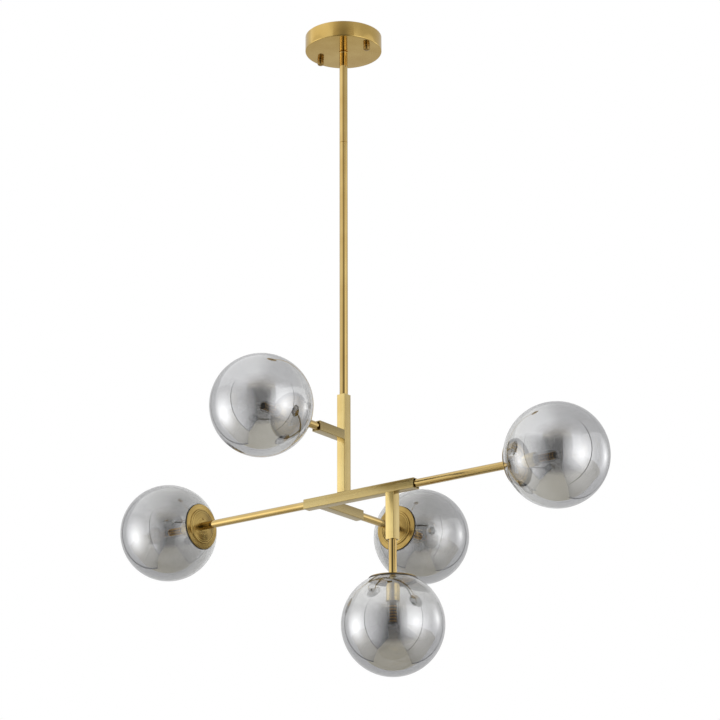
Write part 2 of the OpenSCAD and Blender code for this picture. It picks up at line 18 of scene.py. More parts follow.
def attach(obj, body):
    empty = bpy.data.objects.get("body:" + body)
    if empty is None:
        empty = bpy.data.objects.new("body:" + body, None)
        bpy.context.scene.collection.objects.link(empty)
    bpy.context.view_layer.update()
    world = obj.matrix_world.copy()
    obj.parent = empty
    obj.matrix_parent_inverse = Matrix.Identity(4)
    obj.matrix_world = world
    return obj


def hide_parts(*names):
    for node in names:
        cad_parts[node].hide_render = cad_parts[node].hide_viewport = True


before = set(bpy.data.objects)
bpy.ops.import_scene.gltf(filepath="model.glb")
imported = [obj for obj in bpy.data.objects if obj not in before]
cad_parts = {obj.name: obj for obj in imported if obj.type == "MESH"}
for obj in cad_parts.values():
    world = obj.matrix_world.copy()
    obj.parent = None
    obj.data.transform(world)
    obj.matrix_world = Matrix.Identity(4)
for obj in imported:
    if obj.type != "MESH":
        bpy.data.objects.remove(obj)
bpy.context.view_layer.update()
MM = 0.001

# %% [markdown]
# ## The camera
#
# A lamp like this hangs near the ceiling, and its picture is taken from below and to one
# side. A long lens keeps the five arms in proportion. The camera's place could be found
# by eye, but here it was solved from the corners of the tubes, so the numbers are exact.

# %% Set the camera
DISTANCE, BELOW, LENS, SENSOR = 3.5244, 1.7166, 123.10, 36
yaw, pitch, roll = (math.radians(a) for a in (36.767, 18.516, -0.183))
bearing = math.radians(37.165)
eye = Vector((DISTANCE * math.sin(bearing), -DISTANCE * math.cos(bearing), -BELOW))

ahead = Vector(
    (-math.sin(yaw) * math.cos(pitch), math.cos(yaw) * math.cos(pitch), math.sin(pitch))
)
level = Vector((math.cos(yaw), math.sin(yaw), 0))
upright = level.cross(ahead)
right = level * math.cos(roll) + upright * math.sin(roll)
up = upright * math.cos(roll) - level * math.sin(roll)

camera = bpy.data.objects.new("camera", bpy.data.cameras.new("camera"))
camera.data.lens = LENS
camera.data.sensor_width = SENSOR
camera.matrix_world = (
    Matrix.Translation(eye) @ Matrix((right, up, -ahead)).transposed().to_4x4()
)
bpy.context.scene.collection.objects.link(camera)
bpy.context.scene.camera = camera
print("camera at", [round(v, 3) for v in eye])

# %% [markdown]
# ## Where each lamp end sits
#
# All five lamp ends are the same: a plate, a globe, a sleeve, a bulb and two clips. Each
# is drawn once, standing on the globe's centre with +Z towards its plate, and then seated
# at its arm by a matrix. That is why the five ends can't differ by accident.

# %% List the five lamp ends
BEAM_Z = -751.5
# Each has its globe's centre, the way to its plate, the way its clips spread, and the
# length of arm rod that shows.
LAMP_ENDS = {
    "right": ((373, 0, BEAM_Z), (-1, 0, 0), (0, 1, 0), 171),
    "left": ((-343.5, 0, BEAM_Z), (1, 0, 0), (0, 1, 0), 202.5),
    "upper": ((0, -195.5, -656.5), (0, 1, 0), (1, 0, 0), 58),
    "lower": ((-43.5, 259, BEAM_Z), (0, -1, 0), (1, 0, 0), 91.5),
    "drop": ((88.5, 0, -954.5), (0, 0, 1), (0, 1, 0), 55),
}


def seat(centre, along, across):
    """Matrix that puts a piece drawn about +Z at a centre, with its Z and X turned."""
    z, x = Vector(along), Vector(across)
    turned = Matrix((x, z.cross(x), z)).transposed().to_4x4()
    return Matrix.Translation(Vector(centre) * MM) @ turned


seats = {name: seat(*end[:3]) for name, end in LAMP_ENDS.items()}
UPRIGHT = Matrix.Identity(4)
ALONG_BEAM = seat((0, 0, BEAM_Z), (1, 0, 0), (0, 1, 0))
print(len(seats), "lamp ends:", ", ".join(seats))

# %% [markdown]
# ## Turning
#
# Nearly every part of a lamp is turned on a lathe, so the first tool spins a half outline
# about Z. A modifier could do it too, but a spin leaves a plain mesh, which later steps
# can bevel and measure.

# %% Turn a half outline into a mesh
def turned(outline, closed=True, steps=96):
    """Spins points (radius, height), in mm, once round Z."""
    bm = bmesh.new()
    points = [bm.verts.new((r * MM, 0, h * MM)) for r, h in outline]
    ends = zip(points, points[1:] + points[:1]) if closed else zip(points, points[1:])
    edges = [bm.edges.new(pair) for pair in ends]
    bmesh.ops.spin(
        bm, geom=points + edges, cent=(0, 0, 0), axis=(0, 0, 1), dvec=(0, 0, 0),
        angle=math.tau, steps=steps, use_merge=True,
    )
    bmesh.ops.remove_doubles(bm, verts=bm.verts, dist=1e-6)
    bmesh.ops.recalc_face_normals(bm, faces=bm.faces)
    return bm


washer = turned([(5, 0), (9, 0), (9, 2), (5, 2)], steps=12)
print("a turned washer has", len(washer.faces), "faces")

# %% [markdown]
# ## Easing edges
#
# No real edge is perfectly sharp, and a sharp one in a render catches no light. A small
# bevel on every edge that turns by more than 30 degrees gives each corner its glint.

# %% Round the sharp edges of a mesh
SHARP = math.radians(30)


def ease(bm, width):
    """Rounds every sharp edge by a width in mm."""
    sharp = [e for e in bm.edges if len(e.link_faces) == 2 and e.calc_face_angle() > SHARP]
    bmesh.ops.bevel(
        bm, geom=sharp, offset=width * MM, offset_type="OFFSET", segments=2,
        profile=0.5, affect="EDGES", material=-1,
    )
    return bm


ease(washer, 0.3)
print("and with its edges eased,", len(washer.faces))
washer.free()

# %% [markdown]
# ## Measuring a piece for its finish
#
# Lathe rings and the fade of a mirror film follow the piece, wherever it is seated. So each
# point keeps its distance from the lathe's axis and its height along it, as attributes that
# a material can read.

# %% Keep a piece's own distance and height
def measured(bm):
    """Notes each point's distance from the lathe's axis, and its height along it."""
    reach = bm.verts.layers.float.new("reach")
    height = bm.verts.layers.float.new("height")
    for v in bm.verts:
        v[reach] = math.hypot(v.co.x, v.co.y)
        v[height] = v.co.z
    return bm


print("measures kept: reach and height")

# %% [markdown]
# ## Finished objects
#
# This tool seats a mesh, marks its sharp edges and makes an object of it, and says which
# body it moves with and which CAD nodes it stands for. The object stays at the origin, and
# the mesh carries its place. Tube faces that point along X, either way, are darkened in
# colour: this is painted shade.

# %% Make a finished object of a mesh
# How far the painted shade darkens tube faces that point along X, towards a dark brown.
SIDE_SHADE = 0.4
CREASE = math.radians(28)


def piece(name, bm, place, finish, body="frame", nodes=()):
    """Seats a mesh, and makes the object that rides on a body in place of some nodes."""
    bm.transform(place)
    bm.normal_update()
    for face in bm.faces:
        face.smooth = True
    # Painted shade: tube faces that point along X get a darker colour.
    shade = bm.faces.layers.float.get("shade")
    if shade:
        for face in bm.faces:
            face[shade] = SIDE_SHADE * (abs(face.normal.x) > 0.9)
    for edge in bm.edges:
        if len(edge.link_faces) == 2:
            edge.smooth = edge.calc_face_angle() < CREASE
    mesh = bpy.data.meshes.new(name)
    bm.to_mesh(mesh)
    bm.free()
    mesh.materials.append(finish)
    made = bpy.data.objects.new(name, mesh)
    bpy.context.scene.collection.objects.link(made)
    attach(made, body)
    if nodes:
        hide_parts(*nodes)
    return made


def join(parts):
    """Puts several bmeshes into one."""
    whole = bmesh.new()
    for part in parts:
        loose = bpy.data.meshes.new("part")
        part.to_mesh(loose)
        part.free()
        whole.from_mesh(loose)
        bpy.data.meshes.remove(loose)
    return whole


print("piece and join are ready")

# %% [markdown]
# ## Small tools for making finishes
#
# A finish is a material built from nodes. A blank one holds a Principled shader, and each
# further node is added with its inputs in one line, so a recipe reads from top to bottom.

# %% Start a material and add nodes to it
def blank(name, **values):
    """A material with one Principled shader, whose plain values are set directly."""
    mat = bpy.data.materials.new(name)
    mat.use_nodes = True
    mat.node_tree.nodes.clear()
    shader = add(mat, "BsdfPrincipled", values)
    show(mat, shader.outputs[0])
    return mat, shader


def show(mat, shader):
    """Makes a shader what the surface shows."""
    found = [n for n in mat.node_tree.nodes if n.type == "OUTPUT_MATERIAL"]
    out = found[0] if found else add(mat, "OutputMaterial")
    mat.node_tree.links.new(shader, out.inputs["Surface"])


def add(mat, kind, inputs=None, **settings):
    """Adds a node; an input is given by name or number, as a value or a socket."""
    made = mat.node_tree.nodes.new("ShaderNode" + kind)
    for key, value in settings.items():
        setattr(made, key, value)
    for key, value in (inputs or {}).items():
        if isinstance(value, bpy.types.NodeSocket):
            mat.node_tree.links.new(value, made.inputs[key])
        else:
            made.inputs[key].default_value = value
    return made


def plug(mat, source, shader, name):
    """Joins an output to one of the shader's inputs."""
    mat.node_tree.links.new(source, shader.inputs[name])


print("blank, show, add and plug are ready")

# %% [markdown]
# ## Mixing values, colours and shaders
#
# Most recipes need the same few sums: a value stretched to a range, two values added, a
# colour or a shader between two others. Each gets a short name, so a recipe stays readable.

# %% Name the common sums
def between(mat, value, low, high, start=0.3, end=0.7):
    """A value that runs from low to high as another runs from start to end."""
    return add(
        mat, "MapRange",
        {"Value": value, "From Min": start, "From Max": end, "To Min": low, "To Max": high},
    ).outputs[0]


def math_of(mat, operation, first, second, **settings):
    """Two values added or multiplied."""
    return add(mat, "Math", {0: first, 1: second}, operation=operation, **settings).outputs[0]


def blend(mat, factor, first, second):
    """A colour between two others."""
    made = add(mat, "Mix", {0: factor, 6: first, 7: second}, data_type="RGBA")
    return made.outputs[2]


def over(mat, factor, first, second):
    """A shader between two others."""
    return add(mat, "MixShader", {0: factor, 1: first, 2: second}).outputs[0]


print("between, math_of, blend and over are ready")

# %% [markdown]
# ## Brushed brass
#
# The square tubes are brushed along their length, so a lamp's reflection spreads across
# them. Very long, thin noise makes the brush lines, and the same noise varies the colour,
# the roughness and the height. The Tangent node turns the anisotropic spread with it, and
# a thin coat stands for the lacquer that keeps brass from going brown.

# %% Write the recipe for brushed brass
BRASS, DEEP_BRASS = (0.73, 0.575, 0.235), (0.63, 0.455, 0.155)
ROD_BRASS, DEEP_ROD_BRASS = (0.76, 0.55, 0.20), (0.64, 0.43, 0.13)
# The dark brown that painted shade on tube sides blends towards.
PAINTED_SHADE_BROWN = (0.04, 0.02, 0, 1)
LACQUER = {"Coat Weight": 0.3, "Coat Roughness": 0.1, "Coat IOR": 1.8}
LONG, FINE = 4, 900


def toned(colour, tone):
    """A colour made lighter or darker."""
    return (*(min(c * tone, 1) for c in colour), 1)


def brushed(name, grain, light, deep, rough, spread):
    """Brass brushed along one axis of the object."""
    mat, shader = blank(name, Metallic=1.0, Anisotropic=spread, **LACQUER)
    where = add(mat, "TexCoord").outputs["Object"]
    scale = [LONG if axis == grain else FINE for axis in "XYZ"]
    along = add(mat, "Mapping", {"Vector": where, "Scale": scale}).outputs[0]
    lines = add(mat, "TexNoise", {"Vector": along, "Scale": 1, "Detail": 3}).outputs[0]
    cloud = add(mat, "TexNoise", {"Vector": where, "Scale": 22, "Detail": 2}).outputs[0]
    both = math_of(mat, "ADD", lines, cloud)
    colour = blend(mat, between(mat, both, 1, 0, 0.7, 1.3), light, deep)
    # Painted shade: faces marked with shade are blended towards a dark brown.
    shade = add(mat, "Attribute", attribute_name="shade").outputs["Fac"]
    plug(mat, blend(mat, shade, colour, PAINTED_SHADE_BROWN), shader, "Base Color")
    plug(mat, between(mat, lines, rough - 0.04, rough + 0.06), shader, "Roughness")
    bump = add(mat, "Bump", {"Height": lines, "Strength": 0.25, "Distance": 0.00004})
    plug(mat, bump.outputs[0], shader, "Normal")
    turn = add(mat, "Tangent", direction_type="RADIAL", axis=grain)
    plug(mat, turn.outputs[0], shader, "Tangent")
    return mat


print("brass colours:", BRASS, ROD_BRASS)

# %% [markdown]
# ## One finish for each direction
#
# Brush lines run along a tube, and a material's axes don't turn with a piece, so each
# direction gets its own. Each direction's brass is also made lighter or darker, which is
# painted light and shade: the upright pieces lightest, the ones along X and Y darker. The
# rods are polished instead of brushed.

# %% Mix the brass for tubes and rods
# The tones are painted light and shade: each direction is lighter or darker for how it catches
# the light.
brushed_along = {
    axis: brushed(
        f"brushed_brass_{axis.lower()}", axis, toned(BRASS, tone), toned(DEEP_BRASS, tone),
        rough, spread=0.5,
    )
    for axis, tone, rough in [("X", 0.62, 0.28), ("Y", 0.58, 0.24), ("Z", 1.08, 0.2)]
}
polished_along = {
    axis: brushed(
        f"polished_brass_{axis.lower()}", axis, toned(ROD_BRASS, tone),
        toned(DEEP_ROD_BRASS, tone), rough=0.05, spread=0,
    )
    for axis, tone in [("X", 0.73), ("Y", 0.75), ("Z", 0.84)]
}
print("brass for tubes:", sorted(brushed_along), "and rods:", sorted(polished_along))

# %% [markdown]
# ## Turned brass
#
# Plates, sleeves and the ceiling plate are faced on a lathe, which leaves fine rings. Each
# such piece keeps its own distance from the axis as an attribute, and noise along that one
# number draws rings that stay centred wherever the piece sits.

# %% Mix the turned finishes
DARK_BRASS, DEEP_DARK_BRASS = (0.42, 0.28, 0.10, 1), (0.30, 0.19, 0.06, 1)


def ringed(name, light, deep, rough, rings=1500, read="reach"):
    """Brass with lathe rings that follow one of the piece's own measures."""
    mat, shader = blank(name, Metallic=1.0)
    reach = add(mat, "Attribute", attribute_name=read).outputs["Fac"]
    long = math_of(mat, "MULTIPLY", reach, rings)
    lines = add(
        mat, "TexNoise", {"W": long, "Scale": 1, "Detail": 3}, noise_dimensions="1D"
    ).outputs[0]
    where = add(mat, "TexCoord").outputs["Object"]
    cloud = add(mat, "TexNoise", {"Vector": where, "Scale": 30, "Detail": 2}).outputs[0]
    both = math_of(mat, "ADD", lines, cloud)
    plug(mat, blend(mat, between(mat, both, 1, 0, 0.7, 1.3), light, deep), shader, "Base Color")
    plug(mat, between(mat, lines, rough - 0.05, rough + 0.08), shader, "Roughness")
    bump = add(mat, "Bump", {"Height": lines, "Strength": 0.35, "Distance": 0.00005})
    plug(mat, bump.outputs[0], shader, "Normal")
    return mat


turned_brass = ringed(
    "turned_brass", (0.64, 0.46, 0.165, 1), (0.51, 0.335, 0.095, 1), rough=0.08
)
plate_brass = ringed(
    "plate_brass", (0.50, 0.355, 0.12, 1), (0.26, 0.165, 0.045, 1), rough=0.2, rings=600
)
sleeve_brass = ringed(
    "sleeve_brass", toned(BRASS, 1), toned(DEEP_BRASS, 1), rough=0.1, read="height"
)
dark_brass = ringed("dark_brass", DARK_BRASS, DEEP_DARK_BRASS, rough=0.3, rings=2500)
finishes = (turned_brass, plate_brass, sleeve_brass, dark_brass)
print("turned finishes:", [finish.name for finish in finishes])

# %% [markdown]
# ## Silvered glass
#
# The globes are clear glass with a thin grey mirror film that fades out towards the plate.
# A Principled shader with full transmission is clear glass where Metallic is 0 and mirror
# where it is 1, so a gradient along the lamp end gives the fade. Only the outer skin has
# the film. Shadow rays pass through, so that light still reaches the bulb inside.

# %% Mix the silvered glass
def let_shadows_through(mat, shader, tint):
    """Lets shadow rays pass, tinted, so that what is inside stays lit."""
    clear = add(mat, "BsdfTransparent", {"Color": tint}).outputs[0]
    shadow = add(mat, "LightPath").outputs["Is Shadow Ray"]
    show(mat, over(mat, shadow, shader.outputs[0], clear))


# The film is thinnest 60 mm above the globe's centre and full 20 mm below it.
THIN_AT, FULL_AT = 0.060, -0.020
THIN_FILM, FULL_FILM = 0.12, 0.67
smoked_glass, shader = blank(
    "smoked_glass", **{"Roughness": 0.0, "IOR": 1.5, "Transmission Weight": 1.0}
)
film = add(smoked_glass, "Attribute", attribute_name="film").outputs["Fac"]
height = add(smoked_glass, "Attribute", attribute_name="height").outputs["Fac"]
fade = between(smoked_glass, height, 0, 1, THIN_AT, FULL_AT)
thickness = between(smoked_glass, fade, THIN_FILM, FULL_FILM, 0, 1)
plug(smoked_glass, math_of(smoked_glass, "MULTIPLY", film, thickness), shader, "Metallic")
tint = blend(smoked_glass, fade, (0.83, 0.83, 0.82, 1), (0.655, 0.658, 0.67, 1))
plug(smoked_glass, tint, shader, "Base Color")
let_shadows_through(smoked_glass, shader, (0.97, 0.97, 0.97, 1))
print("film from", THIN_FILM, "to", FULL_FILM)

# %% [markdown]
# ## Plain finishes
#
# The hidden parts are zinc-plated steel, ceramic, rubber, plastic and cable. None is one
# flat colour: a little noise in the colour and roughness is enough at their size.

# %% Mix the plain finishes
def plain(name, light, deep, rough, metal=0.0, grain=60, height=0.3, **values):
    """A finish with mottled colour and roughness."""
    mat, shader = blank(name, Metallic=metal, **values)
    where = add(mat, "TexCoord").outputs["Object"]
    fine = add(mat, "TexNoise", {"Vector": where, "Scale": grain * 10, "Detail": 4}).outputs[0]
    plug(mat, blend(mat, between(mat, fine, 0, 1), light, deep), shader, "Base Color")
    plug(mat, between(mat, fine, rough - 0.05, rough + 0.08), shader, "Roughness")
    bump = add(mat, "Bump", {"Height": fine, "Strength": height, "Distance": 0.00005})
    plug(mat, bump.outputs[0], shader, "Normal")
    return mat


zinc = plain("zinc_steel", (0.62, 0.63, 0.65, 1), (0.50, 0.51, 0.53, 1), 0.32, 1.0)
ceramic = plain("ceramic", (0.82, 0.80, 0.76, 1), (0.76, 0.74, 0.69, 1), 0.35)
rubber = plain("black_rubber", (0.020, 0.020, 0.021, 1), (0.035, 0.034, 0.034, 1), 0.6)
plastic = plain("white_plastic", (0.80, 0.80, 0.78, 1), (0.74, 0.74, 0.72, 1), 0.4)
cable = plain("cable", (0.70, 0.69, 0.66, 1), (0.60, 0.59, 0.56, 1), 0.45)
raw_brass = plain("raw_brass", DARK_BRASS, DEEP_DARK_BRASS, 0.3, 1.0)
wire = plain("clip_wire", (0.07, 0.05, 0.025, 1), (0.04, 0.03, 0.015, 1), 0.2, 1.0)
pin_metal = plain("pin_metal", (0.72, 0.72, 0.70, 1), (0.6, 0.6, 0.58, 1), 0.25, 1.0)
board = plain("lamp_board", (0.05, 0.042, 0.036, 1), (0.035, 0.03, 0.026, 1), 0.3)
amber = plain(
    "amber_lamps", (0.97, 0.58, 0.14, 1), (0.93, 0.48, 0.08, 1), 0.25, grain=120,
    **{"Coat Weight": 0.6},
)
print("plain finishes ready")

# %% [markdown]
# ## Clear finishes
#
# The bulbs' caps and the clips' soft tips are clear too, but carry no film. Both are a
# transmission shader with faint noise in its tint and roughness, and let shadow rays pass.

# %% Mix the clear finishes
def see_through(name, tint, rough, index, shade):
    """Clear glass or silicone, faintly uneven."""
    mat, shader = blank(name, **{"IOR": index, "Transmission Weight": 1.0})
    where = add(mat, "TexCoord").outputs["Object"]
    fine = add(mat, "TexNoise", {"Vector": where, "Scale": 90, "Detail": 2}).outputs[0]
    deep = [c * 0.96 for c in tint[:3]] + [1]
    plug(mat, blend(mat, fine, tint, deep), shader, "Base Color")
    plug(mat, between(mat, fine, rough, rough + 0.015), shader, "Roughness")
    let_shadows_through(mat, shader, shade)
    return mat


bulb_glass = see_through("bulb_glass", (0.97, 0.97, 0.97, 1), 0.0, 1.47, (0.9, 0.9, 0.9, 1))
silicone = see_through("silicone", (0.88, 0.89, 0.90, 1), 0.08, 1.42, (0.8, 0.8, 0.8, 1))
print("clear finishes:", bulb_glass.name, silicone.name)

# %% [markdown]
# ## Square tubes
#
# The post, the beam and the three branches are thin square tubes, open at their ends. A
# cube is stretched to the tube, its end faces are inset by the wall, and the two inner
# loops are bridged, which leaves a real hollow tube. Its edges are then rounded.

# %% Make the square tubes
TUBE, WALL, CORNER = 15, 1.2, 1.0
POST_FOOT, POST_TOP = -744, -592


def square_tube(low, high):
    """A hollow square tube along Z, in mm."""
    bm = bmesh.new()
    # A layer for painted shade, which piece() fills in.
    bm.faces.layers.float.new("shade")
    bmesh.ops.create_cube(bm, size=1)
    size = Matrix.Diagonal((TUBE * MM, TUBE * MM, (high - low) * MM, 1))
    bm.transform(Matrix.Translation((0, 0, (low + high) / 2 * MM)) @ size)
    bmesh.ops.bevel(
        bm, geom=[e for e in bm.edges if abs((e.verts[0].co - e.verts[1].co).z) > 1e-6],
        offset=CORNER * MM, offset_type="OFFSET", segments=4, profile=0.5,
        affect="EDGES", material=-1,
    )
    caps = [f for f in bm.faces if abs(f.normal.z) > 0.9]
    bmesh.ops.inset_individual(bm, faces=caps, thickness=WALL * MM, use_even_offset=True)
    caps = [f for f in bm.faces if abs(f.normal.z) > 0.9 and len(f.verts) > 4]
    loops = [e for f in caps for e in f.edges]
    bmesh.ops.delete(bm, geom=caps, context="FACES_ONLY")
    bmesh.ops.bridge_loops(bm, edges=loops)
    bmesh.ops.recalc_face_normals(bm, faces=bm.faces)
    return bm


tubes = [
    piece("post_tube", square_tube(POST_FOOT, POST_TOP), UPRIGHT, brushed_along["Z"],
          nodes=["post"]),
    piece("beam_tube", square_tube(-70.5, 131.5), ALONG_BEAM, brushed_along["X"],
          nodes=["main_beam"]),
]
for name, start, length, axis in [
    ("upper", 128.5, 59.5, "Y"), ("lower", 162, 89.5, "Y"), ("drop", 125.5, 70, "Z")
]:
    tubes.append(
        piece(f"{name}_branch_tube", square_tube(start, start + length), seats[name],
              brushed_along[axis], nodes=[f"{name}_branch"])
    )
print("tubes:", [t.name for t in tubes])

# %% [markdown]
# ## Round rods
#
# The hanging rod is in two lengths that meet at a fine joint line, and five arm rods run
# from tube ends to plates. Each is a turned tube with chamfered ends, so the joint line
# and the dark rim where a rod enters a tube come from the shape itself.

# %% Make the rods
ARM_ROD, HANGING_ROD, JOINT_Z = 12, 12.7, -180
# An arm rod starts behind its plate and ends a little way inside its tube.
ROD_START, IN_TUBE = 70.5, 3


def rod(across, low, high):
    """A tube with chamfered ends, in mm."""
    r = across / 2
    return measured(turned([
        (5, low), (r - 0.4, low), (r, low + 0.4), (r, high - 0.6), (r - 0.6, high), (5, high)
    ]))


# The upper hanging rod ends in a small collar under the ceiling plate.
collared_rod = measured(turned([
    (5, JOINT_Z), (5.95, JOINT_Z), (6.35, JOINT_Z + 0.4), (6.35, -27.6), (6.68, -27.3),
    (6.83, -26.8), (6.83, -26.3), (6.68, -25.8), (6.35, -25.5), (5.9, -25), (5, -25),
]))
rods = [
    piece("hanging_rod_top", collared_rod, UPRIGHT, polished_along["Z"],
          nodes=["downrod_upper"]),
    piece("hanging_rod", rod(HANGING_ROD, POST_TOP, JOINT_Z), UPRIGHT, polished_along["Z"],
          nodes=["downrod_lower"]),
]
for name, (_, along, _, length) in LAMP_ENDS.items():
    axis = "XYZ"[[abs(a) for a in along].index(1)]
    rods.append(
        piece(f"arm_rod_{name}", rod(ARM_ROD, ROD_START, ROD_START + length + IN_TUBE),
              seats[name], polished_along[axis], nodes=[f"rod_{name}"])
    )
print("rods:", [r.name for r in rods])

# %% [markdown]
# ## The ceiling plate
#
# The plate is a shallow spun cup. Its outline is drawn once round wall and floor, with the
# lower edge rolled, and spun. Its side shows horizontal lines and its floor shows rings.

# %% Make the ceiling plate and its two nuts
def arc(centre, radius, start, end, steps):
    """Points of an arc in the outline's plane, in mm and degrees."""
    for i in range(steps + 1):
        a = math.radians(start + (end - start) * i / steps)
        yield centre[0] + radius * math.cos(a), centre[1] + radius * math.sin(a)


cup = [(58.8, 0), (60, 0), *arc((58.5, -23.5), 1.5, 0, -90, 6), (5.05, -25), (5.05, -23.8),
       *arc((58.2, -23.2), 0.6, -90, 0, 4)]
piece(
    "ceiling_plate", measured(turned(cup, steps=192)), UPRIGHT, turned_brass,
    nodes=["canopy"],
)
nut = [(0, 0), (4.6, 0), (5, -0.4), (5, -1.6), (4.7, -1.9), (4.7, -2.3), (5, -2.6),
       (5, -7.6), (4.6, -8.5), (3.4, -9.4), (1.8, -9.9), (0, -10)]
PLATE_DEPTH = 25
for side, x in (("left", -45.5), ("right", 45.5)):
    place = Matrix.Translation((x * MM, 0, -PLATE_DEPTH * MM))
    piece(f"thumb_nut_{side}", measured(turned(nut, closed=False, steps=48)), place,
          dark_brass, body=f"cap_nut_{side}", nodes=[f"cap_nut_{side}"])
print("ceiling plate and nuts made")

# %% [markdown]
# ## Plates
#
# Each globe hangs from a pressed plate with a raised middle. The outline follows the CAD,
# with its corners rounded and a fine groove round the raised part, where light catches.

# %% Make the plates and their screws
plate_outline = [
    (5.05, 69), (5.05, 70.5), (24.6, 70.5), (24.9, 70.35), (25.2, 70.5),
    *arc((26.0, 70.0), 0.5, 90, 20, 4), (26.9, 68.75), (27.3, 68.5), (31.2, 68.5),
    (31.4, 68.38), (31.6, 68.5), *arc((34.5, 68.0), 0.5, 90, 0, 4), (35, 67), (25, 67),
    (25, 69),
]
SCREWS_AT = (-12, 12)
screw = [(0, 71.3), (1.0, 71.3), (1.5, 71.15), (1.9, 70.75), (2, 70.5), (1.45, 70.5),
         (1.45, 68), (0, 68)]
for name, place in seats.items():
    piece(f"globe_plate_{name}", measured(turned(plate_outline, steps=160)), place,
          plate_brass, nodes=[f"plate_{name}"])
    heads = []
    for y in SCREWS_AT:
        heads.append(turned(screw, closed=False, steps=24))
        heads[-1].transform(Matrix.Translation((0, y * MM, 0)))
    piece(f"screws_{name}", measured(join(heads)), place, dark_brass,
          nodes=["plate_screws"])
print("plates and screws made")

# %% [markdown]
# ## Globes
#
# A globe is a blown shell, cut flat at its mouth. Two points spun through an arc make the
# outer and inner skins, so both are true circles, and a full spin closes the shell. Each
# point notes whether it is on the outer skin, because only that skin carries the film.

# %% Make the globes
def blown_globe(radius=75, wall=2, mouth=65.5):
    """A glass shell with a flat mouth towards +Z, in mm."""
    skins = []
    for r in (radius, radius - wall):
        open_at = math.degrees(math.asin(mouth / r))
        skins.append(list(arc((0, 0), r, -90, open_at, 72)))
    bm = turned(skins[0] + skins[1][::-1], closed=False, steps=128)
    film = bm.verts.layers.float.new("film")
    for v in bm.verts:
        v[film] = float(v.co.length > (radius - wall / 2) * MM)
    return measured(bm)


for name, place in seats.items():
    piece(f"glass_{name}", blown_globe(), place, smoked_glass,
          body=f"globe_{name}", nodes=[f"globe_{name}"])
print("globes made")

# %% [markdown]
# ## Sleeves
#
# A brass sleeve hides the lampholder. It is turned like the plates, with a rolled lip at
# its open end, and its rings run round it, so its finish reads the height.

# %% Make the sleeves
sleeve = [
    (5, 64.4), (9.6, 64.4), (10, 64.0), (10, 34.5), (9.85, 34.1), (9.6, 34), (9.35, 34.1),
    (9.2, 34.5), (9.2, 63.4), (5, 63.4),
]
for name, place in seats.items():
    piece(f"brass_sleeve_{name}", measured(turned(sleeve, steps=96)), place, sleeve_brass,
          nodes=[f"sleeve_{name}"])
print("sleeves made")

# %% [markdown]
# ## The pieces of a bulb
#
# The bulb is a clear cap over an eight-sided board with rows of small amber lamps, on a
# white base with two pins. The lamps are far too many to place by hand, so two loops set
# them on the board's faces, and each is a plain block because it is only 2 mm long.

# %% Draw the bulb's cap, board and lamps
cap_outline = (
    list(arc((0, 8.25), 8.25, -90, 0, 16)) + [(8.25, 35), (7.35, 35)]
    + list(arc((0, 8.25), 7.35, 0, -90, 16))
)
SIDES, ROWS, FIRST_ROW, ROW_PITCH = 8, 6, 4.6, 4.3
CHIP_DEPTH, CHIP_WIDTH, CHIP_LENGTH, CHIP_OUT = 0.9, 2.6, 2.0, 4.85


def cylinder(across, low, high, sides=32):
    """A plain capped cylinder along Z, in mm."""
    bm = bmesh.new()
    bmesh.ops.create_cone(
        bm, cap_ends=True, segments=sides, radius1=across / 2 * MM,
        radius2=across / 2 * MM, depth=(high - low) * MM,
    )
    bm.transform(Matrix.Translation((0, 0, (low + high) / 2 * MM)))
    return bm


def lamp_rows():
    """Small lamps in rows on the faces of the board."""
    lamps = []
    for side in range(SIDES):
        facing = Matrix.Rotation(math.tau * (side + 0.5) / SIDES, 4, "Z")
        for row in range(ROWS):
            chip = bmesh.new()
            bmesh.ops.create_cube(chip, size=1)
            chip.transform(
                facing
                @ Matrix.Translation((CHIP_OUT * MM, 0, (FIRST_ROW + row * ROW_PITCH) * MM))
                @ Matrix.Diagonal((CHIP_DEPTH * MM, CHIP_WIDTH * MM, CHIP_LENGTH * MM, 1))
            )
            lamps.append(chip)
    return join(lamps)


print("lamps on a board:", SIDES * ROWS)

# %% [markdown]
# ## Five bulbs
#
# Every bulb is the same five pieces on the body that pulls out, so they leave together.
# The cap stands for the whole CAD bulb, and the others ride with it.

# %% Make the bulbs
BOARD_START, CAP_END, BASE_END, PINS_END = 3.4, 35, 41, 48.5
PINS_AT = (-4.5, 4.5)
for name, place in seats.items():
    body = f"bulb_{name}"
    piece(f"bulb_cap_{name}", turned(cap_outline, closed=False, steps=64), place,
          bulb_glass, body=body, nodes=[body])
    core = ease(cylinder(9.9, BOARD_START, CAP_END, SIDES), 0.2)
    piece(f"bulb_board_{name}", core, place, board, body=body)
    piece(f"bulb_lamps_{name}", lamp_rows(), place, amber, body=body)
    base = ease(cylinder(16, CAP_END, BASE_END, 64), 0.4)
    piece(f"bulb_base_{name}", base, place, ceramic, body=body)
    pins = []
    for x in PINS_AT:
        pins.append(cylinder(1.3, BASE_END, PINS_END, 24))
        pins[-1].transform(Matrix.Translation((x * MM, 0, 0)))
    piece(f"bulb_pins_{name}", ease(join(pins), 0.2), place, pin_metal, body=body)
print("bulbs made")

# %% [markdown]
# ## Spring clips
#
# Two wire arms hold each globe on: a pin in the plate's lugs, a short straight, an arch,
# and a soft clear bud that presses the glass. The wire is a circle swept by a spin.

# %% Draw a clip's wire and bud
WIRE, PIVOT, RISE, STRAIGHT, SWEEP, ARCH = 1.8, 13, 66, 2, 54, 37.98
bud_outline = [
    (0, 0), (1.3, 0), (2.3, 1.0), (3.5, 2.9), (4.6, 4.6), (5.2, 5.8), (5.58, 7.4),
    (5.6, 8.6), (5.45, 10), (5.1, 11.2), (4.2, 12.8), (3.1, 14), (1.9, 15.1), (1.0, 15.8),
    (0, 16),
]


